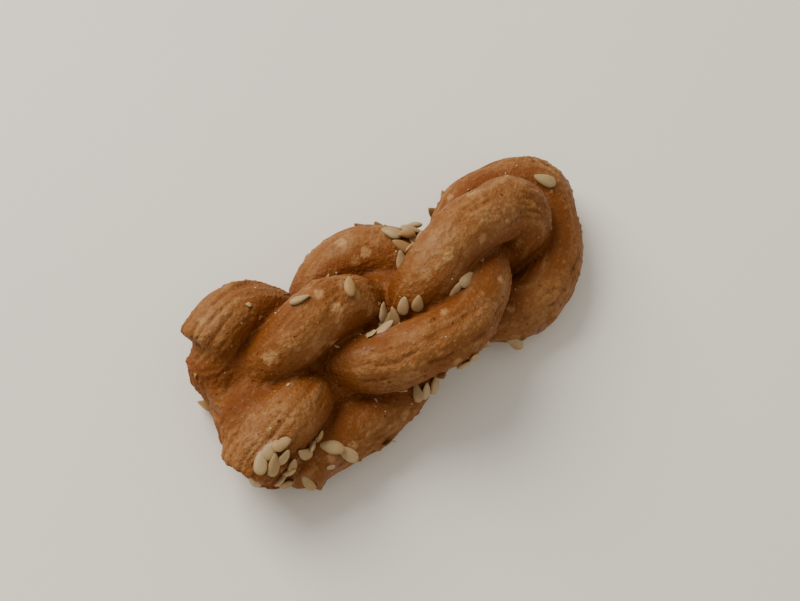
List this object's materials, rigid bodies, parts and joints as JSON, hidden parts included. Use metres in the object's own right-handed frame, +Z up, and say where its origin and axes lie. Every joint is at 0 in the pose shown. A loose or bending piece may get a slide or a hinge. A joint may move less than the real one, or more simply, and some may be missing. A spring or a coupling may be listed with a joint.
{
  "type": "fried dough twist",
  "caption": "Small fried dough twist: a rope of two strands folded in two and twisted on itself, with sesame seeds stuck to it.",
  "frame": {"origin": "under the middle of the twist, on the surface it lies on", "axes": "+X along the twist, from its cut end to its folded end; -Y the near side; +Z up"},
  "size_m": [0.058, 0.0256, 0.0168],
  "materials": {
    "crust": "satin fried crust with a thin oily sugar glaze"
  },
  "bodies": {
    "root": {"dough_twist": "crust"}
  },
  "joints": []
}
